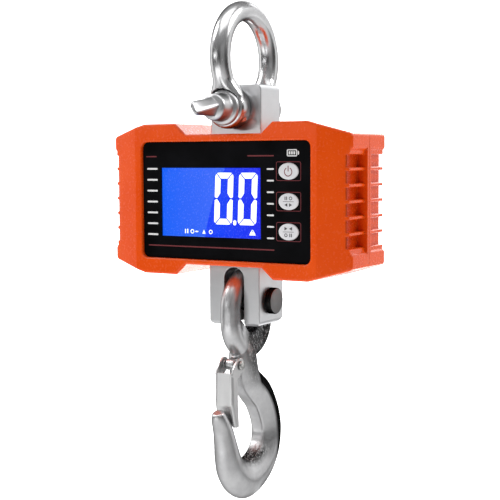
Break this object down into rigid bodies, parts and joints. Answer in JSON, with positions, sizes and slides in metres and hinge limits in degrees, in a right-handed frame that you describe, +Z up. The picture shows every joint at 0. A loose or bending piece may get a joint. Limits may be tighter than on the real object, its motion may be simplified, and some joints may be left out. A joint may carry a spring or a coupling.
{
  "type": "crane scale",
  "caption": "Hanging crane scale: bow shackle with screw pin, orange display housing round a load cell, and an eye hook with a sprung safety latch.",
  "frame": {"origin": "inside of the shackle's crown, where the crane's hook bears", "axes": "+Z up, display faces -Y, +X to the display's right as the user reads it"},
  "size_m": [0.188, 0.1068, 0.3467],
  "materials": {
    "orange_abs": "moulded orange plastic, semi-gloss, fine grain",
    "black_rubber": "soft black rubber",
    "zinc_screw": "zinc plated",
    "black_panel": "gloss black printed film",
    "clear_window": "clear acrylic",
    "lcd_blue": "lit blue liquid crystal panel",
    "light_guide": "white light guide",
    "key_grey": "soft grey key",
    "switch_plastic": "black moulded switch",
    "circuit_board": "green solder mask",
    "brass_post": "turned brass",
    "chip_black": "moulded epoxy",
    "satin_alloy": "satin machined aluminium",
    "zinc_steel": "bright zinc plated steel",
    "black_pin": "black oxide with a ground face",
    "polished_steel": "polished stainless steel",
    "forged_steel": "forged and galvanised, slightly rough",
    "latch_steel": "bright pressed steel sheet",
    "spring_steel": "drawn spring wire",
    "tray_plastic": "black moulded tray",
    "battery_can": "sleeved cell",
    "lead_sheath": "flexible sheath"
  },
  "bodies": {
    "shackle": {"shackle_bow": "polished_steel", "shackle_pin": "polished_steel"},
    "scale_body": {"front_cover": "orange_abs", "rear_cover": "orange_abs", "battery_door": "orange_abs", "cover_gasket": "black_rubber", "cover_screws": "zinc_screw", "board_screws": "zinc_screw", "door_screw": "zinc_screw", "panel_overlay": "black_panel", "display_window": "clear_window", "lcd_glass": "lcd_blue", "backlight": "light_guide", "tact_switches": "switch_plastic", "main_board": "circuit_board", "board_posts": "brass_post", "board_components": "chip_black", "upper_block": "satin_alloy", "lower_block": "satin_alloy", "load_cell": "satin_alloy", "upper_stud": "zinc_steel", "lower_stud": "zinc_steel", "lock_nuts": "zinc_steel", "clevis_pin": "black_pin", "pin_washer": "zinc_steel", "pin_ring": "zinc_steel", "battery_tray": "tray_plastic", "battery_cells": "battery_can", "load_cell_lead": "lead_sheath", "battery_lead": "lead_sheath"},
    "power_key": {"button_power": "key_grey"},
    "hold_key": {"button_hold": "key_grey"},
    "tare_key": {"button_tare": "key_grey"},
    "hook": {"hook": "forged_steel", "latch_pin": "zinc_steel", "latch_spring": "spring_steel"},
    "latch": {"latch": "latch_steel"}
  },
  "joints": [
    {"name": "shackle_swing", "type": "hinge", "parent": "shackle", "child": "scale_body", "pos_m": [0, 0, -0.0595], "axis": [0, 1, 0], "range_deg": [-80, 80]},
    {"name": "power_press", "type": "slide", "parent": "scale_body", "child": "power_key", "axis": [0, 1, 0], "range_m": [0, 0.0006], "stiffness_N_per_m": 600, "springref_m": -0.0006},
    {"name": "hold_press", "type": "slide", "parent": "scale_body", "child": "hold_key", "axis": [0, 1, 0], "range_m": [0, 0.0006], "stiffness_N_per_m": 600, "springref_m": -0.0006},
    {"name": "tare_press", "type": "slide", "parent": "scale_body", "child": "tare_key", "axis": [0, 1, 0], "range_m": [0, 0.0006], "stiffness_N_per_m": 600, "springref_m": -0.0006},
    {"name": "hook_swing", "type": "hinge", "parent": "scale_body", "child": "hook", "pos_m": [0, 0, -0.1915], "axis": [1, 0, 0], "range_deg": [-30, 30]},
    {"name": "latch_open", "type": "hinge", "parent": "hook", "child": "latch", "pos_m": [0, -0.02, -0.2348], "axis": [1, 0, 0], "range_deg": [0, 32], "stiffness_Nm_per_rad": 0.03, "springref_deg": -28.65}
  ]
}
